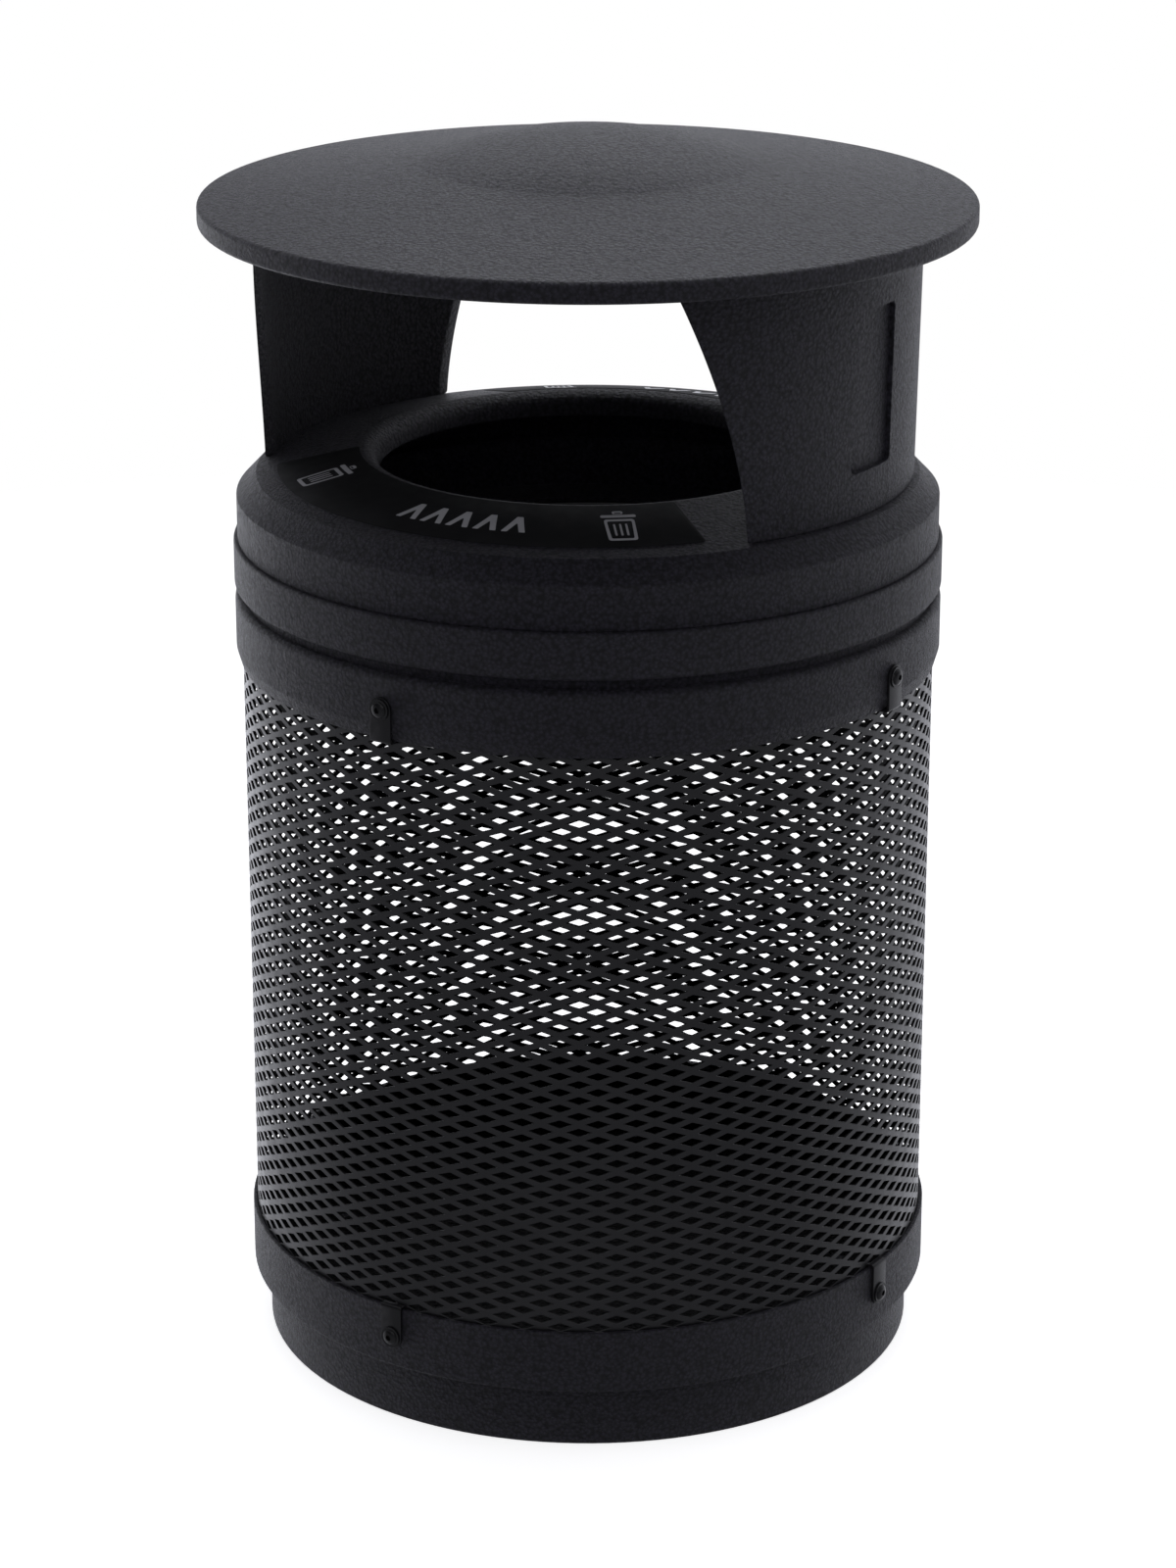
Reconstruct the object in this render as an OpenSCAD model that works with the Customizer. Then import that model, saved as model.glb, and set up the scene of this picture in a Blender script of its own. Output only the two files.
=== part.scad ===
// Outdoor litter bin: an expanded metal drum between moulded rings, with a lift-off lid
// that carries a canopy on two curved legs. Millimetres, +Z up, front opening towards -Y.
// Origin: centre of the foot, on the ground.

/* [Drum] */
// Outer radius of the mesh drum
drum_r = 307.1; // [250:1:380]
// Height of mesh left bare between the base and the upper ring
drum_h = 525.6; // [300:1:800]
// Thickness of the mesh sheet
mesh_t = 2; // [1.5:0.1:4]
// Width of the flat hoops welded inside both ends of the mesh
hoop_w = 28; // [24:1:40]
// Thickness of those hoops
hoop_t = 3; // [2:0.5:5]
// Gap between the mesh and the moulded rings round it
drum_gap = 0.3; // [0.2:0.1:1]

/* [Base] */
// Height of the narrow foot
foot_h = 57.3; // [40:0.5:90]
// How far the foot stands in from the base band
foot_inset = 14.5; // [8:0.5:30]
// Height of the base band above the foot
band_h = 57.8; // [50:0.5:90]
// Wall of the base band
band_wall = 3.8; // [3:0.1:6]
// Wall of the foot, and thickness of the floor
foot_wall = 5; // [4:0.5:8]
// Number of stiffening ribs under the floor
rib_count = 8; // [4:4:16]
// Diameter of the circle of ground anchor holes
anchor_pcd = 360; // [250:5:420]
// Diameter of a ground anchor hole
anchor_d = 14; // [8:1:18]
// Diameter of a drain hole in the floor
drain_d = 12; // [6:1:20]

/* [Upper ring] */
// Height of the upper ring
ring_h = 59.3; // [50:0.5:90]
// Wall of the upper ring
ring_wall = 5.3; // [4:0.1:8]
// Height of the open groove between the upper ring and the collar
groove_h = 8.8; // [6:0.2:16]
// Depth of that groove
groove_depth = 6.7; // [4:0.1:9]
// How far the shelf of the upper ring reaches inward
shelf_w = 35; // [30:1:45]

/* [Collar] */
// Height of the collar's outer skirt
collar_h = 41.2; // [36:0.2:70]
// Width of the hollow collar, from its inner to its outer face
collar_w = 13; // [12:0.5:20]
// Wall of the collar
collar_wall = 4; // [3:0.1:5]
// Width of the flange that carries the bag ring
flange_w = 50; // [44:1:60]
// Diameter of the bag ring's wire
bag_wire_d = 6; // [4:0.5:7]

/* [Lid] */
// How far the lid's band stands in from the collar
lid_inset = 3.5; // [1:0.5:6]
// Height of the lid's upright band
lid_h = 39.9; // [36:0.1:60]
// Wall of the lid
lid_wall = 4.5; // [3:0.1:6]
// Width and height of the bevel above the band
bevel_w = 17.7; // [10:0.1:25]
bevel_h = 17.5; // [10:0.1:25]
// Slope of the lid's conical top, in degrees
lid_slope = 12; // [4:0.5:20]
// Radius of the throat
throat_r = 184; // [140:1:190]
// Width and depth of the rolled lip round the throat
lip_w = 16; // [10:1:24]
lip_h = 20; // [14:1:28]

/* [Canopy] */
// Height of the canopy's rim above the ground edge of the legs
leg_h = 238.6; // [180:1:300]
// Wall of a leg
leg_wall = 7; // [6:0.5:9]
// How far a leg leans out over its height
leg_flare = 4.2; // [0:0.1:10]
// Half of the angle that a leg covers at its foot
leg_half_foot = 29.3; // [24:0.5:38]
// Half of the angle that a leg covers at its top
leg_half_top = 44.5; // [40:0.5:52]
// Radius of the bowed edges of the legs
leg_bow_r = 780; // [500:10:1500]
// Height and width of the sunk panel on each leg
panel_h = 138; // [60:1:160]
panel_w = 64; // [30:1:80]
// Depth of that panel
panel_depth = 4.2; // [1:0.1:4.5]
// How far the canopy reaches out past the legs
canopy_reach = 46.3; // [20:0.5:80]
// Wall of the canopy
canopy_wall = 5; // [3:0.5:8]
// Height of the canopy's upright rim
rim_h = 19; // [12:0.5:30]
// Slope of the canopy's top, in degrees
canopy_slope = 9.8; // [4:0.1:15]
// Radius and height of the central dome
dome_r = 148; // [80:1:180]
dome_h = 25; // [10:1:40]

/* [Decals] */
// Half of the angle that a decal covers
decal_half = 54.5; // [30:0.5:56]
// Width of a decal across the lid's cone
decal_w = 72.3; // [20:0.5:72.5]
// Thickness of a decal
decal_t = 0.4; // [0.2:0.1:1]

/* [Fasteners] */
// Width and thickness of a mesh clip
clip_w = 21.5; // [20:0.5:30]
clip_t = 2.5; // [1.5:0.5:4]
// Distance from a clip screw to the edge of the ring it holds
clip_reach = 27.5; // [20:0.5:32]
// Shank diameter of the clip screws
clip_screw_d = 8; // [6:1:8]
// Flange diameter of a clip screw's head
clip_head_d = 18.5; // [16:0.5:20]
// Shank diameter of the small screws in the lid and collar
small_screw_d = 5; // [4:0.5:6]

/* [Lock] */
// Diameter of the lock's barrel
lock_d = 19; // [16:0.5:20]
// Distance from the lock's axis to the far end of its cam
cam_reach = 34; // [32:0.5:36]

/* [Hidden] */
$fn = 120;

black = "#26262a";
steel = "#8f9296";
mark = "#0c0c0e";

fit = 0.3;            // clearance between pieces that are lifted apart or slid together
touch = 0.1;          // gap of a piece that is clamped against a curved face
thread_gap = 0.05;    // radial gap between a screw and its hole
bolt_gap = 0.3;       // radial gap between a bolt and a clearance hole
arc_steps = 6;        // straight steps in a rounded corner
through = 1;          // how far a cutter runs past the face it opens
bore_reach = 10;      // how far a cross bore runs past the walls it goes through

// Heights, from the ground up
floor_z = foot_h + foot_wall;
band_z = foot_h + band_h;
mesh_z = floor_z + touch;
ring_z = band_z + drum_h;
shoulder_z = ring_z + ring_h;
shelf_t = 5;
flange_t = 5;
skirt_z = shoulder_z + groove_h;
spacer_h = groove_h - flange_t - touch;
flange_z = shoulder_z + spacer_h;
seam_z = skirt_z + collar_h;
bevel_z = seam_z + lid_h;
cone_z = bevel_z + bevel_h;
leg_top_z = cone_z + leg_h;

// Radii, from the mesh outwards and inwards
mesh_in_r = drum_r - mesh_t;
hoop_in_r = mesh_in_r - hoop_t;
socket_r = drum_r + drum_gap;
band_r = socket_r + band_wall;
foot_r = band_r - foot_inset;
ring_r = socket_r + ring_wall;
collar_r = ring_r + drum_gap;
collar_in_r = collar_r - collar_w;
flange_in_r = collar_in_r - flange_w;
shelf_in_r = drum_r - shelf_w;
lid_r = collar_r - lid_inset;
lid_in_r = lid_r - lid_wall;
cone_r = lid_r - bevel_w;
lip_r = throat_r + lip_w;
leg_inset = 5.3;      // from the cone's outer edge in to a leg's foot
leg_r = cone_r - leg_inset;
canopy_r = leg_r + leg_flare + canopy_reach;

// Ends of the mesh and its hoops
edge_grip = 12;       // how far the mesh stops short of the shelf
mesh_top_z = shoulder_z - shelf_t - edge_grip;
lower_hoop_z = band_z - clip_reach - hoop_w / 2 - 1;
upper_hoop_z = ring_z + clip_reach - hoop_w / 2;

// Clips and their screws
clip_angles = [0, 90, 180, 270];
lower_screw_z = band_z - clip_reach;
upper_screw_z = ring_z + clip_reach;
clip_screw_r = clip_screw_d / 2;
clip_bore_r = clip_screw_r + bolt_gap;
clip_nut_h = 6.5;
clip_nut_flats = 13;
clip_nut_r = clip_nut_flats / 2 / cos(30);
screw_tail = 2;       // thread past a nut

// Small screws
small_r = small_screw_d / 2;
small_head_r = 5;
small_head_h = 3;
small_nut_h = 4.5;
small_nut_flats = 8.5;
small_nut_r = small_nut_flats / 2 / cos(30);
collar_screw_r = (shelf_in_r + collar_in_r) / 2;
boss_r = 8;

// Lip of the collar's flange, which the bag ring sits on
bag_lip_w = 11;
bag_lip_drop = 7;
bag_lip_t = 4;
bag_play = 0.5;       // gap round the bag ring in its recess
bag_ring_r = flange_in_r - bag_wire_d / 2 - bag_play;
bag_ring_z = flange_z - bag_lip_drop + bag_lip_t + bag_wire_d / 2 + touch;

// Locating lip under the lid
lip_crown = 2;        // the lip's curve is that much lower than the lip
spigot_t = 3;
spigot_h = 5.5;
spigot_r = collar_in_r - fit;
lid_floor_t = 4;

// Leg tongues, their slots and bosses
tongue_t = 5;
tongue_r = leg_r - 1;
tongue_h = 38;
tongue_half = 4;      // degrees
tongue_angles = [-19, 0, 19];
leg_screw_z = cone_z - 26;
leg_flange_w = 25;
leg_flange_t = 6;
canopy_boss_angles = [-27, 0, 27];
canopy_boss_in = 13;  // from a leg's inner face in to the canopy's screws
canopy_boss_r = leg_r + leg_flare - leg_wall - canopy_boss_in;
rim_drop = 17;        // how far the canopy's rim hangs below the top of the legs
rim_z = leg_top_z - rim_drop;
crease_z = rim_z + rim_h;
rim_wall = 6.5;
rim_round = 4;
crease_in = 6;

// Lock, at the back of the lid
lock_rise = 16;       // from the lid's lower edge up to the lock's axis
lock_z = seam_z + lock_rise;
lock_r = lock_d / 2;
lock_head_r = lock_r + 2.5;
lock_head_t = 2.5;
lock_body_l = 20;
plug_r = 6;
lock_nut_r = 11.5;
lock_nut_t = 5;
cam_t = 2.5;
cam_screw_r = small_r - 1;
cam_screw_l = 7;
cam_w = 12;
cam_hook = 4;         // how far the hook stands out from the arm
hook_h = 6;
cam_y = lid_r - lock_body_l;
keeper_w = 16;        // half of its width
keeper_h = 22;
keeper_play = 2;      // gap between the locked hook and the ledge over it
keeper_drop = 13;     // from the ledge down to the screws
keeper_foot = 6;      // from the screws down to the plate's lower edge
screw_skin = 1;       // wall left past the end of a screw hole in plastic
keeper_t = 2.5;
keeper_reach = 6.4;
keeper_open = 4;     // how far the ledge reaches towards the side that the cam comes from
notch_half = 42;
notch_w = 25;

// Points of a circular corner, from angle a0 to a1
function corner(x, y, r, a0, a1) =
    [for (i = [0:arc_steps]) let (a = a0 + (a1 - a0) * i / arc_steps) [x + r * cos(a), y + r * sin(a)]];

// Height of the lid's conical top at a radius
function cone_at(r) = cone_z + (cone_r - r) * tan(lid_slope);

// Height of the canopy's conical top at a radius
crease_r = canopy_r - crease_in;
function canopy_at(r) = crease_z + (crease_r - r) * tan(canopy_slope);

// Radius of a leg's outer face at a height
leg_foot_z = cone_at(leg_r) + fit;
function leg_at(z) = leg_r + leg_flare * (z - leg_foot_z) / (leg_top_z - leg_foot_z);

module spun(points, angle = 360) {
    rotate([0, 0, angle == 360 ? 0 : -angle / 2])
        rotate_extrude(angle = angle) polygon(points);
}

// Turns a front piece to another place round the bin
module turned(angle) { rotate([0, 0, angle]) children(); }

// A round bar lying along the radius at the front, from r0 out to r1
module radial(r, r0, r1, z) {
    translate([0, -r0, z]) rotate([90, 0, 0]) cylinder(r = r, h = r1 - r0);
}

// A hexagonal bar lying along the radius at the front
module radial_hex(r, r0, r1, z) {
    translate([0, -r0, z]) rotate([90, 0, 0]) cylinder(r = r, h = r1 - r0, $fn = 6);
}

module clip_bores(z) {
    for (a = clip_angles) turned(a) radial(clip_bore_r, hoop_in_r - bore_reach, ring_r + bore_reach, z);
}

// ---------- drum ----------

module base_tub() {
    foot_in_r = foot_r - foot_wall;
    edge = 1.2;
    foot_round = 2;
    band_round = 3;
    hub_r = 40;
    rib_t = 5;
    rib_lift = 12;
    anchor_r = anchor_d / 2;
    anchor_boss_wall = 11;
    anchor_turn = 45;
    drain_turn = 22.5;
    drain_at = (anchor_pcd / 2 + foot_in_r) / 2;
    color(black) difference() {
        union() {
            spun(concat(
                [[0, foot_h], [foot_in_r, foot_h], [foot_in_r, 0]],
                corner(foot_r - foot_round, foot_round, foot_round, -90, 0),
                [[foot_r, foot_h]],
                corner(band_r - band_round, foot_h + band_round, band_round, -90, 0),
                corner(band_r - edge, band_z - edge, edge, 0, 90),
                corner(socket_r + edge, band_z - edge, edge, 90, 180),
                [[socket_r, floor_z], [0, floor_z]]));
            translate([0, 0, rib_lift]) cylinder(r = hub_r, h = foot_h - rib_lift + through);
            for (i = [0:rib_count - 1]) rotate([0, 0, 360 * i / rib_count])
                translate([hub_r / 2, -rib_t / 2, rib_lift])
                    cube([foot_in_r + through - hub_r / 2, rib_t, foot_h - rib_lift + through]);
            for (i = [0:3]) rotate([0, 0, anchor_turn + 90 * i])
                translate([anchor_pcd / 2, 0, 0])
                    cylinder(r = anchor_r + anchor_boss_wall, h = foot_h + through);
        }
        translate([0, 0, -through]) cylinder(r = hub_r - rib_t, h = foot_h + through);
        for (i = [0:3]) rotate([0, 0, anchor_turn + 90 * i])
            translate([anchor_pcd / 2, 0, -through]) cylinder(r = anchor_r, h = floor_z + 2 * through);
        for (i = [0:3]) rotate([0, 0, drain_turn + 90 * i])
            translate([drain_at, 0, foot_h - through])
                cylinder(d = drain_d, h = foot_wall + 2 * through);
        clip_bores(lower_screw_z);
    }
}

module hoop(z) {
    spun([[hoop_in_r, z], [mesh_in_r, z], [mesh_in_r, z + hoop_w], [hoop_in_r, z + hoop_w]]);
}

module lower_hoop() {
    color(black) difference() {
        hoop(lower_hoop_z);
        clip_bores(lower_screw_z);
    }
}

module upper_hoop() {
    color(black) difference() {
        hoop(upper_hoop_z);
        clip_bores(upper_screw_z);
    }
}

module mesh_screen() {
    color(black) difference() {
        spun([[mesh_in_r, mesh_z], [drum_r, mesh_z], [drum_r, mesh_top_z], [mesh_in_r, mesh_top_z]]);
        clip_bores(lower_screw_z);
        clip_bores(upper_screw_z);
    }
}

module upper_ring() {
    bevel = 3.5;
    bevel_up = 12;
    round_top = 6;
    spacer_w = 4;
    neck_r = ring_r - groove_depth;
    color(black) difference() {
        union() {
            spun(concat(
                [[socket_r, ring_z], [ring_r - bevel, ring_z], [ring_r, ring_z + bevel_up]],
                corner(ring_r - round_top, shoulder_z - round_top, round_top, 0, 90),
                [[neck_r, shoulder_z], [neck_r, flange_z], [neck_r - spacer_w, flange_z],
                 [neck_r - spacer_w, shoulder_z], [shelf_in_r, shoulder_z],
                 [shelf_in_r, shoulder_z - shelf_t], [socket_r, shoulder_z - shelf_t]]));
            for (a = clip_angles) turned(a)
                translate([0, -collar_screw_r, shoulder_z - through])
                    cylinder(r = boss_r, h = spacer_h + through);
        }
        clip_bores(upper_screw_z);
        collar_bores();
    }
}

module collar_bores() {
    for (a = clip_angles) turned(a)
        translate([0, -collar_screw_r, shoulder_z - shelf_t - through])
            cylinder(r = small_r + bolt_gap, h = shelf_t + groove_h + 2 * through + bag_lip_drop);
}

module collar_ring() {
    curl = 3;
    edge = 2.5;
    seat_r = ring_r - groove_depth;
    inner_out_r = collar_in_r + collar_wall;
    lip_z = flange_z - bag_lip_drop;
    flange_top = flange_z + flange_t;
    color(black) difference() {
        spun(concat(
            [[flange_in_r - bag_lip_w + bag_lip_t, lip_z], [flange_in_r + bag_lip_t, lip_z],
             [flange_in_r + bag_lip_t, flange_z], [seat_r, flange_z], [seat_r, flange_top],
             [inner_out_r, flange_top], [inner_out_r, seam_z - collar_wall],
             [collar_r - collar_wall, seam_z - collar_wall], [collar_r - collar_wall, skirt_z]],
            corner(collar_r - curl, skirt_z + curl, curl, -90, 0),
            corner(collar_r - edge, seam_z - edge, edge, 0, 90),
            [[collar_in_r, seam_z], [collar_in_r, flange_top], [flange_in_r, flange_top],
             [flange_in_r, lip_z + bag_lip_t], [flange_in_r - bag_lip_w + bag_lip_t, lip_z + bag_lip_t]]));
        collar_bores();
        keeper_bores();
    }
}

// ---------- clips ----------

// A strap with a round end at the screw. side is 1 where it hooks over a ring's upper edge.
module clip(face_r, edge_z, side) {
    screw_z = edge_z - side * clip_reach;
    inner = face_r + touch;
    foot_z = edge_z + side * touch;
    low = min(screw_z, foot_z + side * clip_t);
    high = max(screw_z, foot_z + side * clip_t);
    color(black) difference() {
        union() {
            translate([-clip_w / 2, -inner - clip_t, low]) cube([clip_w, clip_t, high - low]);
            radial(clip_w / 2, inner, inner + clip_t, screw_z);
            translate([-clip_w / 2, -inner - clip_t, min(foot_z, foot_z + side * clip_t)])
                cube([clip_w, inner + clip_t - drum_r - touch, clip_t]);
        }
        radial(clip_bore_r, inner - through, inner + clip_t + through, screw_z);
    }
}

module lower_clip(angle) { turned(angle) clip(band_r, band_z, 1); }
module upper_clip(angle) { turned(angle) clip(ring_r, ring_z, -1); }

// Flanged button-head screw with a hexagonal socket, head outwards from seat_r
module clip_screw(seat_r, z) {
    head_flange_t = 1.6;
    head_r = 7;
    head_h = 4.4;
    crown = 75;           // degrees of arc in the rounded head
    socket_flats = 5;
    socket_r = socket_flats / 2 / cos(30);
    socket_depth = 2.6;
    end_r = hoop_in_r - clip_nut_h - screw_tail;
    color(black) difference() {
        union() {
            radial(clip_head_d / 2, seat_r, seat_r + head_flange_t, z);
            translate([0, -seat_r, z]) rotate([90, 0, 0])
                rotate_extrude() polygon(concat(
                    [[0, 0], [head_r, 0]],
                    [for (i = [0:arc_steps]) let (a = crown * i / arc_steps)
                        [head_r * cos(a),
                         head_flange_t + (head_h - head_flange_t) * sin(a) / sin(crown)]],
                    [[0, head_h]]));
            radial(clip_screw_r, end_r, seat_r + through, z);
        }
        radial_hex(socket_r, seat_r + head_h - socket_depth, seat_r + head_h + through, z);
    }
}

module lower_clip_screws() {
    for (a = clip_angles) turned(a) clip_screw(band_r + touch + clip_t, lower_screw_z);
}

module upper_clip_screws() {
    for (a = clip_angles) turned(a) clip_screw(ring_r + touch + clip_t, upper_screw_z);
}

module clip_nut(z) {
    face_r = hoop_in_r - touch;
    color(steel) difference() {
        radial_hex(clip_nut_r, face_r - clip_nut_h, face_r, z);
        radial(clip_screw_r + thread_gap, face_r - clip_nut_h - through, face_r + through, z);
    }
}

module lower_clip_nuts() { for (a = clip_angles) turned(a) clip_nut(lower_screw_z); }
module upper_clip_nuts() { for (a = clip_angles) turned(a) clip_nut(upper_screw_z); }

// ---------- collar and bag ----------

// Pan-head screw standing upright, underside of the head at z = 0, shank downwards
module small_screw(length) {
    crown = 80;           // degrees of arc in the rounded head
    socket_flats = 3;
    socket_r = socket_flats / 2 / cos(30);
    socket_depth = 1.6;
    color(steel) difference() {
        union() {
            rotate_extrude() polygon(concat(
                [[0, 0], [small_head_r, 0]],
                [for (i = [0:arc_steps]) let (a = crown * i / arc_steps)
                    [small_head_r * cos(a), small_head_h * sin(a) / sin(crown)]],
                [[0, small_head_h]]));
            translate([0, 0, -length]) cylinder(r = small_r, h = length + through / 2);
        }
        translate([0, 0, small_head_h - socket_depth])
            cylinder(r = socket_r, h = socket_depth + through, $fn = 6);
    }
}

module collar_screws() {
    length = flange_t + spacer_h + shelf_t + small_nut_h + screw_tail;
    for (a = clip_angles) turned(a)
        translate([0, -collar_screw_r, flange_z + flange_t]) small_screw(length);
}

module collar_nuts() {
    color(steel) for (a = clip_angles) turned(a)
        translate([0, -collar_screw_r, shoulder_z - shelf_t - small_nut_h]) difference() {
            cylinder(r = small_nut_r, h = small_nut_h, $fn = 6);
            translate([0, 0, -through]) cylinder(r = small_r + thread_gap, h = small_nut_h + 2 * through);
        }
}

module bag_ring() {
    color(steel) translate([0, 0, bag_ring_z])
        rotate_extrude() translate([bag_ring_r, 0]) circle(d = bag_wire_d);
}

// Plate on the back of the collar's inner wall, with a ledge that the lock's cam hooks under
keeper_top_z = lock_z - cam_reach + hook_h + keeper_play;
keeper_screw_z = keeper_top_z - keeper_drop;
keeper_face_r = sqrt(pow(collar_in_r, 2) - pow(keeper_w, 2)) - touch;

module keeper_bores() {
    turned(180) for (x = [-1, 1]) translate([x * keeper_w / 2, 0, 0])
        radial(small_r + thread_gap, keeper_face_r - through,
               collar_in_r + collar_wall - screw_skin, keeper_screw_z);
}

module lock_keeper() {
    foot = keeper_screw_z - keeper_foot;
    color(steel) turned(180) difference() {
        union() {
            translate([-keeper_w, -keeper_face_r, foot]) cube([2 * keeper_w, keeper_t, keeper_h]);
            translate([-keeper_open, -keeper_face_r, keeper_top_z])
                cube([keeper_w + keeper_open, keeper_reach + keeper_t, keeper_t]);
        }
        for (x = [-1, 1]) translate([x * keeper_w / 2, 0, 0])
            radial(small_r + bolt_gap, keeper_face_r - 3 * keeper_t,
                   keeper_face_r + through, keeper_screw_z);
    }
}

module keeper_screws() {
    length = collar_in_r + collar_wall - screw_skin - bolt_gap - keeper_face_r + keeper_t;
    turned(180) for (x = [-1, 1])
        translate([x * keeper_w / 2, -keeper_face_r + keeper_t, keeper_screw_z])
            rotate([-90, 0, 0]) small_screw(length);
}

// ---------- lid ----------

module lid_ring() {
    edge = 1.5;
    lip_in = lid_wall;
    inner_cone = lid_wall / cos(lid_slope);
    inner_bevel_r = cone_r - lid_wall * tan(22.5);
    lip_skirt = 3;        // how far the throat's wall runs below the rolled lip
    lip_base_z = lip_centre_z() - lip_skirt;
    color(black) difference() {
        union() {
            spun(concat(
                [[spigot_r - spigot_t, seam_z - spigot_h], [spigot_r, seam_z - spigot_h],
                 [spigot_r, seam_z]],
                corner(lid_r - edge, seam_z + edge, edge, -90, 0),
                corner(lid_r - edge, bevel_z - edge, edge, 0, 45),
                [[cone_r, cone_z], [lip_r, cone_at(lip_r)]],
                lip_points(lip_w, lip_top() - lip_centre_z()),
                [[throat_r, lip_base_z], [throat_r + lip_in, lip_base_z]],
                reversed(lip_points(lip_w - lip_in, lip_top() - lip_centre_z() - inner_cone)),
                [[inner_bevel_r, cone_at(inner_bevel_r) - inner_cone],
                 [lid_in_r, bevel_z - lid_wall * tan(22.5)],
                 [lid_in_r, seam_z + lid_floor_t], [spigot_r - spigot_t, seam_z + lid_floor_t]]));
            for (side = [90, 270], a = tongue_angles) turned(side + a)
                radial(boss_r, tongue_r + touch, lid_in_r + through, leg_screw_z);
        }
        for (side = [90, 270], a = tongue_angles) turned(side + a) {
            tongue_shape(fit, 2 * through);
            radial(small_r + thread_gap, tongue_r - through, lid_in_r - 2 * screw_skin, leg_screw_z);
        }
        turned(180) {
            translate([-notch_half, -collar_in_r - fit, seam_z - spigot_h - through])
                cube([2 * notch_half, notch_w, spigot_h + lid_floor_t + 2 * through]);
            radial(lock_r + bolt_gap, lid_in_r - bore_reach, lid_r + bore_reach, lock_z);
        }
    }
}

function lip_top() = cone_at(lip_r);
function lip_centre_z() = lip_top() - lip_h + lip_crown;
function lip_points(w, h) =
    [for (i = [1:arc_steps + 2]) let (a = 90 * i / (arc_steps + 2))
        [lip_r - w * sin(a), lip_centre_z() + h * cos(a)]];
function reversed(list) = [for (i = [len(list) - 1:-1:0]) list[i]];

// A leg's tongue at the front, or with a margin, the slot that it drops through
module tongue_shape(margin, extra) {
    half = tongue_half + margin / tongue_r * 180 / PI;
    outer = tongue_r + margin;
    inner = tongue_r - tongue_t - margin;
    slot_depth = 12;
    low = margin > 0 ? cone_at(tongue_r) - slot_depth : cone_z - tongue_h;
    high = cone_at(inner) + fit + extra;
    rotate([0, 0, -90]) spun([[inner, low], [outer, low], [outer, high], [inner, high]], 2 * half);
}

// The opening between the legs, seen from the front: its side is a circle of leg_bow_r
// through the corner at the leg's foot and the corner at its top
foot_corner = [leg_r * cos(leg_half_foot), leg_foot_z];
top_corner = [leg_at(leg_top_z) * cos(leg_half_top), leg_top_z];
chord = top_corner - foot_corner;
chord_mid = (top_corner + foot_corner) / 2;
bow_centre = chord_mid
    + [-chord[1], chord[0]] / norm(chord) * sqrt(pow(leg_bow_r, 2) - pow(norm(chord) / 2, 2));

// A leg standing on the right, at +X
module leg() {
    wall_top = leg_top_z;
    foot_in_r = leg_r - leg_wall;
    flange_in = leg_at(wall_top) - leg_wall - leg_flange_w;
    flange_low = wall_top - leg_flange_t;
    panel_drop = 10;      // how far the panel's middle is below the leg's
    blank = 110;          // degrees of wall that the leg is cut from
    panel_mid_z = (leg_foot_z + leg_top_z) / 2 - panel_drop;
    panel_half = panel_w / 2 / leg_r * 180 / PI;
    color(black) difference() {
        union() {
            difference() {
                spun([[foot_in_r, cone_at(foot_in_r) + fit], [leg_r, leg_foot_z],
                      [leg_at(wall_top), wall_top], [flange_in, wall_top],
                      [flange_in, flange_low], [leg_at(flange_low) - leg_wall, flange_low]], blank);
                translate([bow_centre[0], canopy_r, bow_centre[1]]) rotate([90, 0, 0])
                    cylinder(r = leg_bow_r, h = 2 * canopy_r, $fn = 240);
            }
            for (a = tongue_angles) turned(90 + a) tongue_shape(0, 2);
        }
        spun([[leg_at(panel_mid_z - panel_h / 2) - panel_depth, panel_mid_z - panel_h / 2],
              [canopy_r, panel_mid_z - panel_h / 2], [canopy_r, panel_mid_z + panel_h / 2],
              [leg_at(panel_mid_z + panel_h / 2) - panel_depth, panel_mid_z + panel_h / 2]],
             2 * panel_half);
        for (a = tongue_angles) turned(90 + a)
            radial(small_r + bolt_gap, tongue_r - tongue_t - through, tongue_r + through, leg_screw_z);
        for (a = canopy_boss_angles) turned(90 + a)
            translate([0, -canopy_boss_r, flange_low - through])
                cylinder(r = small_r + bolt_gap, h = leg_flange_t + 2 * through);
    }
}

module leg_right() { leg(); }
module leg_left() { rotate([0, 0, 180]) leg(); }

module leg_screws() {
    inner = tongue_r - tongue_t - touch;
    length = lid_in_r - 2 * screw_skin - through - inner;
    for (side = [90, 270], a = tongue_angles) turned(side + a)
        translate([0, -inner, leg_screw_z]) rotate([-90, 0, 0]) small_screw(length);
}

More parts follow.
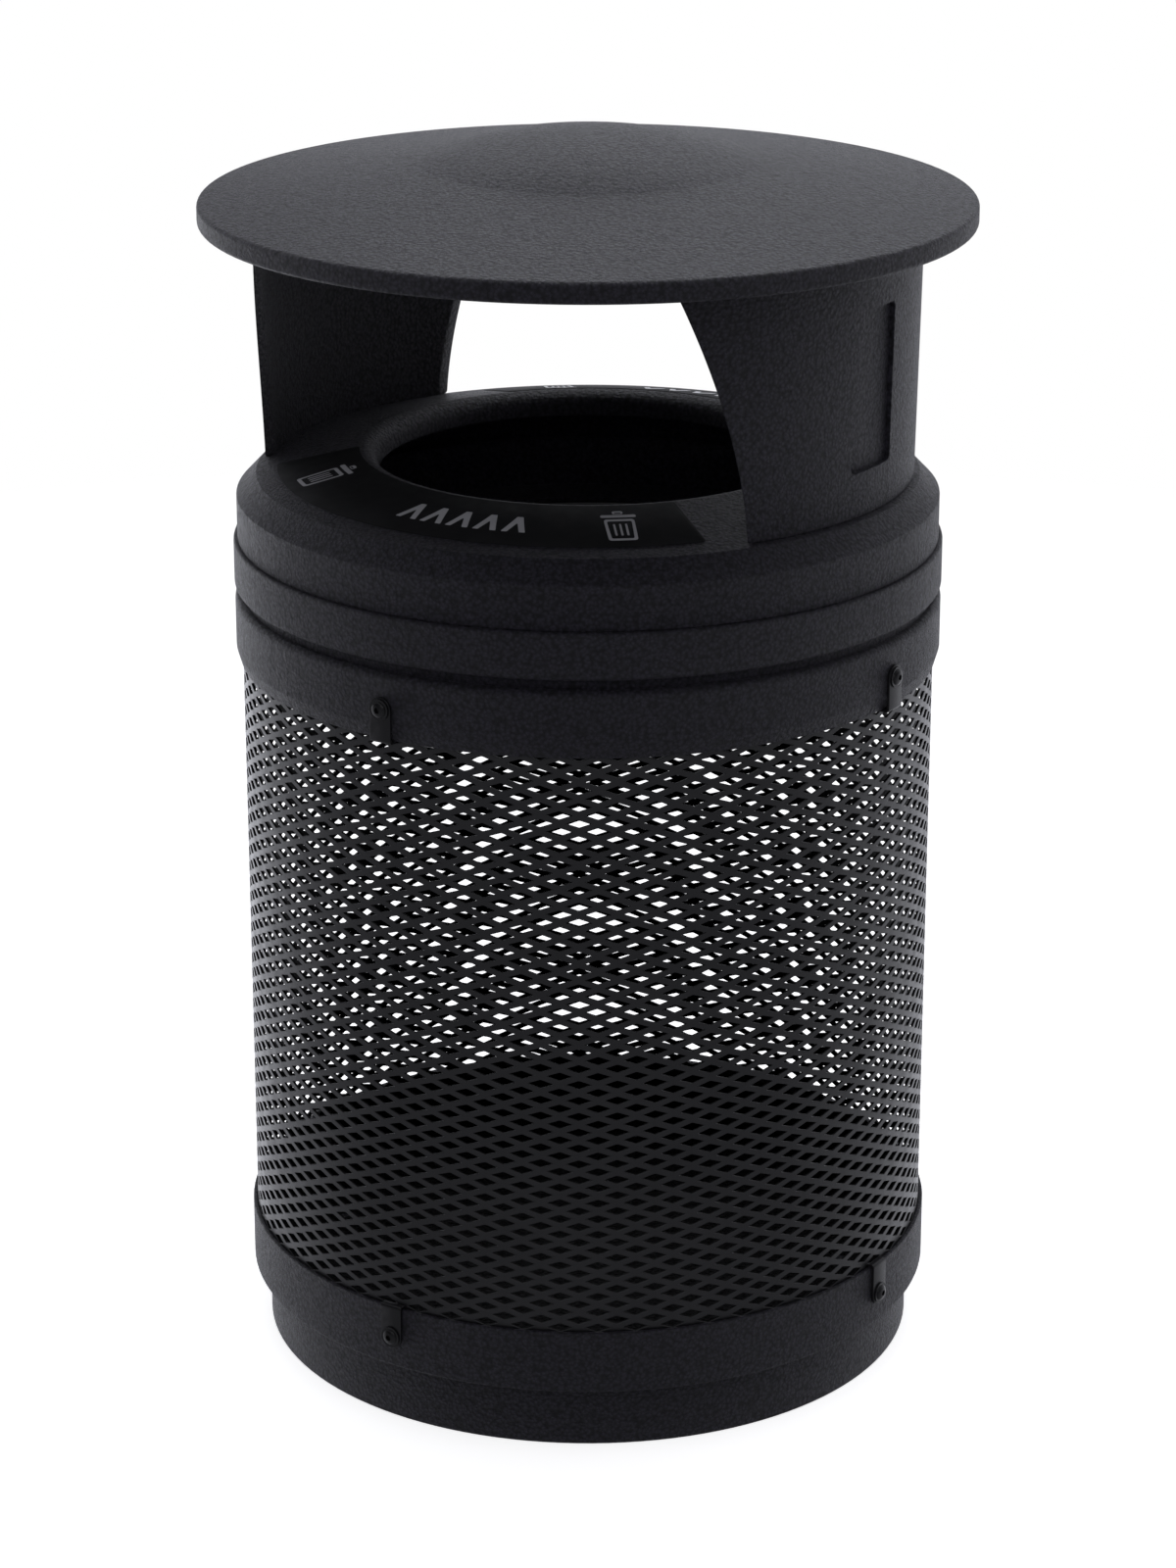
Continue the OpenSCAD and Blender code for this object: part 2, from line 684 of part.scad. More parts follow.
module canopy() {
    dome_steps = 10;
    ball_r = (pow(dome_r, 2) + pow(dome_h, 2)) / (2 * dome_h);
    dome_z = canopy_at(dome_r);
    ball_z = dome_z + dome_h - ball_r;
    under = canopy_wall / cos(canopy_slope);
    rim_in_r = canopy_r - rim_wall;
    tilt = asin(dome_r / ball_r);
    boss_top = canopy_at(canopy_boss_r) - canopy_wall / 2;
    color(black) difference() {
        union() {
            spun(concat(
                [[rim_in_r, rim_z]],
                corner(canopy_r - rim_round, rim_z + rim_round, rim_round, -90, 0),
                corner(canopy_r - rim_round, crease_z - rim_round, rim_round, 0, 90 - canopy_slope),
                [for (i = [0:dome_steps]) let (a = tilt * (1 - i / dome_steps))
                    [ball_r * sin(a), ball_z + ball_r * cos(a)]],
                [for (i = [0:dome_steps]) let (a = tilt * i / dome_steps)
                    [(ball_r - canopy_wall) * sin(a), ball_z + (ball_r - canopy_wall) * cos(a)]],
                [[rim_in_r, canopy_at(rim_in_r) - under]]));
            for (side = [90, 270], a = canopy_boss_angles) turned(side + a)
                translate([0, -canopy_boss_r, leg_top_z])
                    cylinder(r = boss_r, h = boss_top - leg_top_z);
        }
        for (side = [90, 270], a = canopy_boss_angles) turned(side + a)
            translate([0, -canopy_boss_r, leg_top_z - through])
                cylinder(r = small_r + thread_gap, h = boss_top - leg_top_z);
    }
}

module canopy_screws() {
    length = leg_flange_t + canopy_at(canopy_boss_r) - canopy_wall / 2 - leg_top_z - 2 * through;
    for (side = [90, 270], a = canopy_boss_angles) turned(side + a)
        translate([0, -canopy_boss_r, leg_top_z - leg_flange_t])
            rotate([180, 0, 0]) small_screw(length);
}

module decal(angle) {
    border = 1;           // lid left bare between the throat's lip and the decal
    inner = lip_r + border;
    outer = inner + min(decal_w, leg_r - leg_wall - 2 * border - inner);
    color(mark) turned(angle) rotate([0, 0, -90])
        spun([[inner, cone_at(inner) + touch], [outer, cone_at(outer) + touch],
              [outer, cone_at(outer) + touch + decal_t], [inner, cone_at(inner) + touch + decal_t]],
             2 * decal_half);
}

module decal_front() { decal(0); }
module decal_rear() { decal(180); }

// ---------- lock ----------

module lock_housing() {
    color(steel) turned(180) difference() {
        union() {
            radial(lock_head_r, lid_r + touch, lid_r + touch + lock_head_t, lock_z);
            radial(lock_r, cam_y + 1, lid_r + touch + through, lock_z);
        }
        radial(plug_r, cam_y - through, lid_r + 10, lock_z);
    }
}

module lock_nut() {
    face_r = sqrt(pow(lid_in_r, 2) - pow(lock_nut_r, 2)) - touch;
    color(black) turned(180) difference() {
        radial(lock_nut_r, face_r - lock_nut_t, face_r, lock_z);
        radial(lock_r + thread_gap, face_r - lock_nut_t - through, face_r + through, lock_z);
    }
}

module lock_plug() {
    key_l = 7;
    key_w = 1.4;
    key_depth = 5;
    end_r = lid_r + touch + lock_head_t;
    color(steel) turned(180) difference() {
        radial(plug_r - thread_gap, cam_y + touch, end_r, lock_z);
        translate([-key_l / 2, -end_r - through, lock_z - key_w / 2])
            cube([key_l, key_depth + through, key_w]);
        radial(cam_screw_r + thread_gap, cam_y - through, cam_y + cam_screw_l + through, lock_z);
    }
}

// The cam lies level while unlocked. Its hooked end turns down and under the keeper's ledge.
module lock_cam() {
    color(steel) turned(180) translate([0, -cam_y, lock_z]) difference() {
        union() {
            rotate([-90, 0, 0]) cylinder(r = cam_w / 2, h = cam_t);
            translate([-cam_reach, 0, -cam_w / 2]) cube([cam_reach, cam_t, cam_w]);
            translate([-cam_reach, -cam_hook, -cam_w / 2]) cube([hook_h, cam_hook + cam_t, cam_w]);
        }
        translate([0, -through, 0]) rotate([-90, 0, 0])
            cylinder(r = cam_screw_r + bolt_gap, h = cam_t + 2 * through);
    }
}

module cam_screw() {
    head_r = 4;
    head_h = 2.5;
    color(steel) turned(180) union() {
        radial(cam_screw_r, cam_y - cam_t - touch, cam_y + cam_screw_l, lock_z);
        radial(head_r, cam_y - cam_t - touch - head_h, cam_y - cam_t - touch, lock_z);
    }
}

base_tub();
lower_hoop();
mesh_screen();
upper_hoop();
upper_ring();
collar_ring();
lower_clip(0);  // lower_clip_front
lower_clip(90);  // lower_clip_right
lower_clip(180);  // lower_clip_rear
lower_clip(270);  // lower_clip_left
upper_clip(0);  // upper_clip_front
upper_clip(90);  // upper_clip_right
upper_clip(180);  // upper_clip_rear
upper_clip(270);  // upper_clip_left
lower_clip_screws();
upper_clip_screws();
lower_clip_nuts();
upper_clip_nuts();
collar_screws();
collar_nuts();
bag_ring();
lock_keeper();
keeper_screws();
lid_ring();
leg_left();
leg_right();
leg_screws();
canopy();
canopy_screws();
decal_front();
decal_rear();
lock_housing();
lock_nut();
lock_plug();
lock_cam();
cam_screw();
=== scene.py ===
import math

import bmesh
import bpy
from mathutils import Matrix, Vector


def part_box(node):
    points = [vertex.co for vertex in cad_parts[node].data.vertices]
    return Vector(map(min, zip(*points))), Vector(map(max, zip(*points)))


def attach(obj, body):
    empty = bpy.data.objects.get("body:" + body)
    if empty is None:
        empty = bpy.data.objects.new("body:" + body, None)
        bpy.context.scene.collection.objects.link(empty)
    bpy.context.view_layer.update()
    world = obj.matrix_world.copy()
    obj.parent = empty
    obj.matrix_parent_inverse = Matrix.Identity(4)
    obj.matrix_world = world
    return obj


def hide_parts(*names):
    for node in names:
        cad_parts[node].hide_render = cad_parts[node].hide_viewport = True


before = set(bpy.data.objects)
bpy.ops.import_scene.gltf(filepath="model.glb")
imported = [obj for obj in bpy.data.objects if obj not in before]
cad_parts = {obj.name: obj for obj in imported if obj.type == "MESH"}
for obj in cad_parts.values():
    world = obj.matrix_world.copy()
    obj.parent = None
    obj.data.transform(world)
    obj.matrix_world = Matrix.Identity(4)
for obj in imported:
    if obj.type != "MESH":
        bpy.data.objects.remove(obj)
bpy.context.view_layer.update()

MM = 0.001

# ---------------------------------------------------------------- sizes, in millimetres


def low(node):
    """The lowest height of a CAD node."""
    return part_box(node)[0][2] / MM


def high(node, axis=2):
    """The highest coordinate of a CAD node on an axis, its height if none is given."""
    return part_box(node)[1][axis] / MM


drum_r = high("mesh_screen", 0)
mesh_low, mesh_top = low("mesh_screen"), high("mesh_screen")
band_r, band_top = high("base_tub", 0), high("base_tub")
ring_r, ring_low = high("upper_ring", 0), low("upper_ring")
lid_top = high("lid_ring")
leg_top = high("leg_right")

# These repeat the CAD's own figures, which no box of a node gives.
CONE_SLOPE = math.tan(math.radians(12.0))
LIP_R = 200.0                    # where the lid's cone meets the lip round the throat
CONE_EDGE_R = 291.8              # where the cone meets the bevel
LEG_R, LEG_FLARE, LEG_WALL = 286.5, 4.2, 7.0
LEG_GAP = 0.3


def cone_at(r):
    """Height of the lid's cone at a radius."""
    return lid_top + (LIP_R - r) * CONE_SLOPE


leg_foot = cone_at(LEG_R) + LEG_GAP

# ---------------------------------------------------------------- materials

MIX_DARK, MIX_LIGHT, MIX_RESULT = 6, 7, 2        # the colour sockets of a Mix node
# Painted shade: the near-black colour given to the tub's inside and the drum's inner faces, which
# lie in shade.
PAINTED_SHADE_COLOUR = (0.0022, 0.0022, 0.0024)


class Tree:
    """A node tree, with short calls to add and join nodes."""

    def __init__(self, tree):
        self.tree = tree

    def add(self, kind, **settings):
        node = self.tree.nodes.new(kind)
        for key, value in settings.items():
            if hasattr(node, key):
                setattr(node, key, value)
            else:
                node.inputs[key.replace("_", " ")].default_value = value
        return node

    def link(self, source, target):
        self.tree.links.new(source, target)

    def feed(self, socket, value):
        """Joins an output to a socket, or sets the socket to a constant."""
        if isinstance(value, bpy.types.NodeSocket):
            self.link(value, socket)
        else:
            socket.default_value = value

    def maths(self, operation, a, b):
        node = self.add("ShaderNodeMath", operation=operation)
        for socket, value in zip(node.inputs, (a, b)):
            self.feed(socket, value)
        return node.outputs[0]

    def vector(self, operation, *values):
        node = self.add("ShaderNodeVectorMath", operation=operation)
        for socket, value in zip(node.inputs, values):
            self.feed(socket, value)
        return node.outputs["Value" if operation in ("DOT_PRODUCT", "LENGTH") else "Vector"]

    def scaled(self, value, from_low, from_high, to_low=0.0, to_high=1.0, curve="LINEAR"):
        node = self.add("ShaderNodeMapRange", interpolation_type=curve)
        for socket, number in zip(("From Min", "From Max", "To Min", "To Max"),
                                  (from_low, from_high, to_low, to_high)):
            node.inputs[socket].default_value = number
        self.link(value, node.inputs["Value"])
        return node.outputs["Result"]


class Nodes(Tree):
    """A material's node tree, with the patterns that the materials share."""

    def __init__(self, name):
        self.material = bpy.data.materials.new(name)
        self.material.use_nodes = True
        super().__init__(self.material.node_tree)
        self.shader = self.tree.nodes["Principled BSDF"]
        self.place = self.add("ShaderNodeTexCoord").outputs["Object"]

    def noise(self, scale, detail=3.0, rough=0.55):
        node = self.add("ShaderNodeTexNoise", Scale=scale, Detail=detail, Roughness=rough)
        self.link(self.place, node.inputs["Vector"])
        return node.outputs["Fac"]

    def cells(self, scale, spread, wander):
        """Soft pebbles: rounded Voronoi cells whose places are stirred by noise."""
        stir = self.add("ShaderNodeTexNoise", Scale=scale * 0.45, Detail=2.0)
        self.link(self.place, stir.inputs["Vector"])
        pushed = self.vector("MULTIPLY_ADD", stir.outputs["Color"], (wander, wander, wander),
                             self.place)
        node = self.add("ShaderNodeTexVoronoi", feature="SMOOTH_F1", Scale=scale,
                        Smoothness=spread)
        self.link(pushed, node.inputs["Vector"])
        return node.outputs["Distance"]

    def mixed(self, factor, dark, light):
        node = self.add("ShaderNodeMix", data_type="RGBA")
        self.link(factor, node.inputs["Factor"])
        for index, value in ((MIX_DARK, dark), (MIX_LIGHT, light)):
            self.feed(node.inputs[index], value + (1.0,) if isinstance(value, tuple) else value)
        return node.outputs[MIX_RESULT]

    def from_axis(self):
        """The level vector from the bin's axis to the surface."""
        return self.vector("MULTIPLY", self.place, (1.0, 1.0, 0.0))

    def inner_side(self):
        """0 on faces that look away from the bin's axis, 1 on all the others."""
        outward = self.vector("NORMALIZE", self.from_axis())
        normal = self.add("ShaderNodeTexCoord").outputs["Normal"]
        return self.scaled(self.vector("DOT_PRODUCT", normal, outward), 0.6, 0.1)

    def inside(self, radius, floor):
        """1 nearer the bin's axis than a radius and above a floor, in millimetres; else 0."""
        distance = self.vector("LENGTH", self.from_axis())
        near = self.scaled(distance, (radius + 1.5) * MM, (radius - 1.5) * MM)
        height = self.add("ShaderNodeSeparateXYZ")
        self.link(self.place, height.inputs[0])
        above = self.scaled(height.outputs["Z"], (floor - 3.0) * MM, (floor - 1.0) * MM)
        return self.maths("MULTIPLY", near, above)

    def paint_shade(self, where, colour):
        """Painted shade: where that factor is 1, the colour turns nearly black and the sheen goes.

        The sheen goes because a metal reflects only its own colour. The specular level would
        say it more plainly, but a linked one is lost in the export.
        """
        self.link(where, self.shader.inputs["Metallic"])
        return self.mixed(where, colour, PAINTED_SHADE_COLOUR)

    def worn_edges(self, start, full):
        """How much of an outward edge has rubbed lighter, broken up by noise."""
        shape = self.add("ShaderNodeNewGeometry").outputs["Pointiness"]
        edge = self.scaled(shape, start, full)
        return self.maths("MULTIPLY", edge, self.scaled(self.noise(90.0), 0.35, 0.7))

    def bump(self, height, distance, strength):
        node = self.add("ShaderNodeBump", Distance=distance, Strength=strength)
        self.link(height, node.inputs["Height"])
        self.link(node.outputs[0], self.shader.inputs["Normal"])

    def finish(self, colour, rough, **constant):
        self.link(colour, self.shader.inputs["Base Color"])
        self.link(rough, self.shader.inputs["Roughness"])
        for key, value in constant.items():
            self.shader.inputs[key.replace("_", " ")].default_value = value
        return self.material


def moulded_plastic(name, shade_zone=None):
    """Rotationally moulded black plastic with a pebbled skin, with painted highlight on the crests
    of the grain and painted shade in its hollows.

    Its last argument is a radius and a floor: nearer the axis and above the floor, painted shade
    makes it dark and matt, for the tub's inside seen through the drum.
    """
    n = Nodes(name)
    cloud = n.noise(9.0)
    mottle = n.noise(120.0, 4.0)
    tone = n.maths("ADD", n.maths("MULTIPLY", cloud, 0.6), n.maths("MULTIPLY", mottle, 0.4))
    pebble = n.cells(300.0, 0.5, 0.0026)
    orange_peel = n.noise(1000.0, 3.0, 0.7)
    skin = n.maths("SUBTRACT", orange_peel, pebble)
    n.bump(skin, 0.0040, 1.0)
    # Painted shade in the hollows of the grain and painted highlight on its crests; the crests' own
    # tone varies at random.
    grain_shade, grain_highlight_dark, grain_highlight_light, worn = (
        (0.0050, 0.0046, 0.0080), (0.041, 0.037, 0.056), (0.055, 0.050, 0.074),
        (0.062, 0.060, 0.068))
    grain_highlight = n.mixed(n.scaled(tone, 0.3, 0.7), grain_highlight_dark, grain_highlight_light)
    plain = n.mixed(n.scaled(skin, -0.25, 0.45), grain_shade, grain_highlight)
    colour = n.mixed(n.worn_edges(0.54, 0.66), plain, worn)
    uneven = n.maths("ADD", mottle, n.maths("MULTIPLY", pebble, 0.35))
    rough = n.scaled(uneven, 0.3, 0.95, 0.40, 0.54)
    # Painted shade on the tub's inside, nearer the axis than the drum and above its foot.
    if shade_zone:
        colour = n.paint_shade(n.inside(*shade_zone), colour)
    return n.finish(colour, rough, Specular_IOR_Level=0.5)


def powder_coat(name, dark, light, rough, grain, shine, shade_inner_faces=False):
    """Satin powder coating: fine orange peel, lighter where edges are rubbed."""
    n = Nodes(name)
    plain = n.mixed(n.scaled(n.noise(14.0), 0.35, 0.65), dark, light)
    colour = n.mixed(n.worn_edges(0.56, 0.70), plain, (0.06, 0.059, 0.062))
    n.bump(n.noise(grain, 2.0), 0.00022, 0.6)
    # Painted shade: faces that look towards the axis, the drum's inside, turn nearly black and lose
    # their sheen.
    if shade_inner_faces:
        colour = n.paint_shade(n.inner_side(), colour)
    return n.finish(colour, n.scaled(n.noise(70.0), 0.3, 0.7, *rough), Specular_IOR_Level=shine)


def vinyl_film(name, dark, light, rough, shine):
    """Printed vinyl: almost flat, with a faint ripple and a soft gloss."""
    n = Nodes(name)
    colour = n.mixed(n.scaled(n.noise(25.0), 0.35, 0.65), dark, light)
    n.bump(n.noise(160.0, 2.0), 0.00012, 0.5)
    return n.finish(colour, n.scaled(n.noise(48.0), 0.3, 0.7, *rough), Specular_IOR_Level=shine)


def plated_metal(name, dark, light, rough, grain):
    """Plated steel with drawn streaks and a mottled sheen."""
    n = Nodes(name)
    stretch = n.add("ShaderNodeMapping")
    stretch.inputs["Scale"].default_value = (1.0, 1.0, 9.0)
    n.link(n.place, stretch.inputs["Vector"])
    streak = n.add("ShaderNodeTexNoise", Scale=grain, Detail=3.0)
    n.link(stretch.outputs[0], streak.inputs["Vector"])
    colour = n.mixed(n.scaled(n.noise(260.0, 4.0), 0.35, 0.65), dark, light)
    n.bump(streak.outputs["Fac"], 0.00008, 0.6)
    return n.finish(colour, n.scaled(streak.outputs["Fac"], 0.3, 0.7, *rough), Metallic=1.0)


PLASTIC = moulded_plastic("moulded_plastic")
# The tub's inside, seen through the drum, is given painted shade.
TUB_PLASTIC = moulded_plastic("moulded_plastic_tub", shade_zone=(drum_r - 5.0, mesh_low))
# The drum's inner faces are given painted shade.
MESH = powder_coat("mesh_coating", (0.0095, 0.0093, 0.0105), (0.0135, 0.0132, 0.0145),
                   rough=(0.30, 0.42), grain=700.0, shine=0.5, shade_inner_faces=True)
CLIP = powder_coat("clip_coating", (0.0055, 0.0054, 0.0062), (0.0085, 0.0083, 0.0094),
                   rough=(0.26, 0.36), grain=900.0, shine=0.34)
SCREW = powder_coat("screw_coating", (0.0055, 0.0054, 0.0060), (0.0085, 0.0084, 0.0092),
                    rough=(0.24, 0.34), grain=1400.0, shine=0.36)
VINYL = vinyl_film("decal_vinyl", (0.0120, 0.0120, 0.0126), (0.0160, 0.0160, 0.0168),
                   rough=(0.55, 0.66), shine=0.10)
PRINT = vinyl_film("decal_print", (0.40, 0.40, 0.415), (0.47, 0.47, 0.485),
                   rough=(0.55, 0.66), shine=0.2)
PRINT_REAR = vinyl_film("decal_print_rear", (0.78, 0.79, 0.79), (0.84, 0.84, 0.85),
                        rough=(0.40, 0.50), shine=0.5)
ZINC = plated_metal("zinc_plate", (0.42, 0.42, 0.41), (0.58, 0.57, 0.55),
                    rough=(0.26, 0.42), grain=180.0)
CHROME = plated_metal("lock_chrome", (0.62, 0.62, 0.63), (0.72, 0.72, 0.73),
                      rough=(0.10, 0.20), grain=220.0)

# ---------------------------------------------------------------- mesh helpers


def piece(name, bm, body, material, stands_for, sharp):
    """Makes an object of a bmesh in millimetres, and ties it to its body."""
    bmesh.ops.scale(bm, vec=(MM, MM, MM), verts=bm.verts)
    bmesh.ops.recalc_face_normals(bm, faces=bm.faces)
    mesh = bpy.data.meshes.new(name)
    bm.to_mesh(mesh)
    bm.free()
    mesh.materials.append(material)
    mesh.polygons.foreach_set("use_smooth", [True] * len(mesh.polygons))
    mesh.set_sharp_from_angle(angle=math.radians(sharp))
    obj = bpy.data.objects.new(name, mesh)
    bpy.context.scene.collection.objects.link(obj)
    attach(obj, body)
    if stands_for:
        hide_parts(*stands_for)


def add_loop(bm, points):
    return [bm.verts.new(p) for p in points]


def bridge(bm, a, b):
    """A closed strip of quads between two loops with as many points each."""
    for i in range(len(a)):
        j = (i + 1) % len(a)
        bm.faces.new((a[i], a[j], b[j], b[i]))


def arc(bm, outline, a0, a1, steps):
    """Turns a closed outline (r, z) from angle a0 to a1, in degrees, with flat ends."""
    loops = []
    for i in range(steps + 1):
        a = math.radians(a0 + (a1 - a0) * i / steps)
        loops.append(add_loop(bm, [(r * math.cos(a), r * math.sin(a), z) for r, z in outline]))
    for one, other in zip(loops, loops[1:]):
        bridge(bm, one, other)
    bm.faces.new(loops[0])
    bm.faces.new(reversed(loops[-1]))


def inset(outline, amount):
    """The outline (anticlockwise) moved inward along its own normals."""
    n, moved = len(outline), []
    for i in range(n):
        (ax, ay), (bx, by), (cx, cy) = outline[i - 1], outline[i], outline[(i + 1) % n]
        before = Vector((bx - ax, by - ay)).normalized()
        after = Vector((cx - bx, cy - by)).normalized()
        bisector = Vector((-(before.y + after.y), before.x + after.x))
        scale = 0.0
        if bisector.length > 1e-9:
            scale = amount / max(0.2, bisector.length_squared / 2.0)
        moved.append((bx + bisector.x * scale, by + bisector.y * scale))
    return moved


def rounded_outline(points, radii, steps):
    """A closed polygon (anticlockwise) with its corners rounded, by one radius or one each."""
    out, n = [], len(points)
    for i in range(n):
        p = Vector(points[i])
        r = radii[i] if hasattr(radii, "__len__") else radii
        to_last, to_next = Vector(points[i - 1]) - p, Vector(points[(i + 1) % n]) - p
        a, b = to_last.normalized(), to_next.normalized()
        half = math.acos(max(-1.0, min(1.0, a.dot(b)))) / 2.0
        if r < 1e-6 or half > math.radians(88.0):
            out.append(tuple(p))
            continue
        reach = min(r / math.tan(half), to_last.length * 0.48, to_next.length * 0.48)
        radius = reach * math.tan(half)
        centre = p + (a + b).normalized() * (radius / math.sin(half))
        start, stop = p + a * reach - centre, p + b * reach - centre
        a0, a1 = math.atan2(start.y, start.x), math.atan2(stop.y, stop.x)
        turn = (a1 - a0 + math.pi) % (2 * math.pi) - math.pi
        out += [(centre.x + radius * math.cos(a0 + turn * k / steps),
                 centre.y + radius * math.sin(a0 + turn * k / steps)) for k in range(steps + 1)]
    return out


def dense(outline, step):
    """The outline with no edge longer than step."""
    out, n = [], len(outline)
    for i in range(n):
        (ax, ay), (bx, by) = outline[i], outline[(i + 1) % n]
        cuts = max(1, int(math.ceil(math.hypot(bx - ax, by - ay) / step)))
        out += [(ax + (bx - ax) * k / cuts, ay + (by - ay) * k / cuts) for k in range(cuts)]
    return out


def quarter(radius, steps):
    """How far in and down each ring of a rounded edge lies, from the flat face to the side."""
    angles = [math.radians(90.0 * k / steps) for k in range(steps + 1)]
    return [(radius * (1 - math.sin(a)), radius * (1 - math.cos(a))) for a in angles]


def slab(bm, outline, top, bottom, edge, steps, pocket=None):
    """A flat plate with rounded edges, drawn as (x, y, height). pocket = (outline, depth, edge)."""
    rounds = quarter(edge, steps)
    loops = [add_loop(bm, [(x, y, top - drop) for x, y in inset(outline, move)])
             for move, drop in rounds]
    loops += [add_loop(bm, [(x, y, bottom + drop) for x, y in inset(outline, move)])
              for move, drop in reversed(rounds)]
    for a, b in zip(loops, loops[1:]):
        bridge(bm, a, b)
    bm.faces.new(loops[-1])
    if not pocket:
        bm.faces.new(loops[0])
        return
    rim, depth, soft = pocket
    bends = quarter(soft, steps)
    inner = [add_loop(bm, [(x, y, top - drop) for x, y in inset(rim, -move)])
             for move, drop in bends]
    inner += [add_loop(bm, [(x, y, top - depth + drop) for x, y in inset(rim, move)])
              for move, drop in reversed(bends)]
    for a, b in zip(inner, inner[1:]):
        bridge(bm, a, b)
    bm.faces.new(inner[-1])
    edges = [bm.edges.get((loop[i], loop[(i + 1) % len(loop)]))
             for loop in (loops[0], inner[0]) for i in range(len(loop))]
    bmesh.ops.triangle_fill(bm, use_beauty=True, edges=edges)


def slice_x(bm, x0, x1, step):
    """Cuts the mesh along planes of constant x, so that it can bend."""
    count = int((x1 - x0) / step)
    for i in range(1, count):
        x = x0 + (x1 - x0) * i / count
        bmesh.ops.bisect_plane(bm, geom=bm.verts[:] + bm.edges[:] + bm.faces[:], dist=1e-4,
                               plane_co=(x, 0, 0), plane_no=(1, 0, 0))


def bend(bm, place):
    """Moves every point of a flat drawing to where place puts it on the bin."""
    for v in bm.verts:
        v.co = place(*v.co)


# ---------------------------------------------------------------- expanded metal drum

MESH_THICK = 2.0
AROUND = 59                                # diamonds round the drum
LONG_WAY = 2 * math.pi / AROUND            # in radians
SHORT_WAY = 14.73
HOLE_LONG, HOLE_SHORT = 21.6, 7.4
HOLE_TIP, HOLE_SHOULDER = 0.15, 0.5        # half the flat at each tip and at each side
HOLE_CHAMFER = 0.35
START_ANGLE, START_HEIGHT = math.radians(35.1 - 90.0), 280.2       # the middle of one hole


def drum_screen():
    """The rolled sheet: staggered flat-tipped diamonds, with a plain margin at both ends."""
    outer_r, inner_r, mid_r = drum_r, drum_r - MESH_THICK, drum_r - MESH_THICK / 2
    cell_a, cell_z = LONG_WAY / 2, SHORT_WAY / 2
    rows_low = int(math.floor((band_top + 2 - START_HEIGHT) / cell_z)) - 1
    rows_high = int(math.ceil((ring_low - 2 - START_HEIGHT) / cell_z)) + 1
    tip, flat, shoulder = HOLE_LONG / 2 / mid_r, HOLE_SHORT / 2, HOLE_SHOULDER / mid_r
    hole = [(tip, -HOLE_TIP), (tip, HOLE_TIP), (shoulder, flat), (-shoulder, flat),
            (-tip, HOLE_TIP), (-tip, -HOLE_TIP), (-shoulder, -flat), (shoulder, -flat)]
    flat_hole = [(a * mid_r, z) for a, z in hole]
    wide = [(x / mid_r, z) for x, z in inset(flat_hole, -HOLE_CHAMFER)]
    corners = [(cell_a, 0.0), (0.0, cell_z), (-cell_a, 0.0), (0.0, -cell_z)]
    halves = [bmesh.new(), bmesh.new()]
    shared = [{}, {}]

    def vertex(half, a, z, r):
        """The half's vertex at a place, made once and shared by the cells that meet there."""
        key = (round(a * 4000), round(z * 50), round(r * 10))
        found = shared[half].get(key)
        if found is None:
            found = halves[half].verts.new((r * math.cos(a), r * math.sin(a), z))
            shared[half][key] = found
        return found

    def cell(half, a, z):
        """One diamond of sheet round its hole, chamfered on the outside."""
        def ring(points, r):
            return [vertex(half, a + pa, z + pz, r) for pa, pz in points]

        face = halves[half].faces.new
        rim_out, rim_in = ring(corners, outer_r), ring(corners, inner_r)
        lip, edge = ring(wide, outer_r), ring(hole, outer_r - HOLE_CHAMFER)
        back = ring(hole, inner_r)
        for rim, inner in ((rim_out, lip), (rim_in, back)):
            for k in range(4):
                near, left, right = inner[2 * k], inner[2 * k + 1], inner[(2 * k + 2) % 8]
                face((rim[k], rim[(k + 1) % 4], right, left))
                face((rim[k], left, near))
        for k in range(8):
            j = (k + 1) % 8
            face((lip[k], lip[j], edge[j], edge[k]))
            face((edge[k], edge[j], back[j], back[k]))

    for row in range(rows_low, rows_high + 1):
        shift = 0.5 if row % 2 else 0.0
        for column in range(AROUND):
            turn = column + shift
            cell(0 if turn < AROUND / 2 else 1, START_ANGLE + turn * LONG_WAY,
                 START_HEIGHT + row * cell_z)
    margins = ((mesh_low, START_HEIGHT + rows_low * cell_z),
               (START_HEIGHT + rows_high * cell_z, mesh_top))
    for half, bm in enumerate(halves):
        a0 = math.degrees(START_ANGLE) + 180.0 * half
        for z0, z1 in margins:
            arc(bm, [(inner_r, z0), (outer_r, z0), (outer_r, z1), (inner_r, z1)],
                a0, a0 + 180.0, 150)
    piece("drum_screen_front", halves[0], "bin", MESH, ("mesh_screen",), 20.0)
    piece("drum_screen_rear", halves[1], "bin", MESH, (), 20.0)


# ---------------------------------------------------------------- legs

LEG_BOW = 780.0                            # radius of the arc that cuts both edges of a leg
LEG_FOOT_HALF, LEG_TOP_HALF = 29.3, 44.5   # half the leg's width, in degrees round the axis
LEG_ROWS = 40
PANEL_WIDE, PANEL_TALL, PANEL_DROP = 64.0, 138.0, 10.0
PANEL_DEPTH, PANEL_EDGE = 4.2, 0.8
MIDDLE = 33.0                              # half the strip that keeps its width when bent
FLANGE_REACH, FLANGE_THICK = 25.0, 6.0
TONGUE_ANGLES, TONGUE_HALF, TONGUE_THICK, TONGUE_DEEP = (-19.0, 0.0, 19.0), 4.0, 5.0, 38.0


def leg_at(z):
    """Radius of a leg's outer face at a height."""
    return LEG_R + LEG_FLARE * (z - leg_foot) / (leg_top - leg_foot)


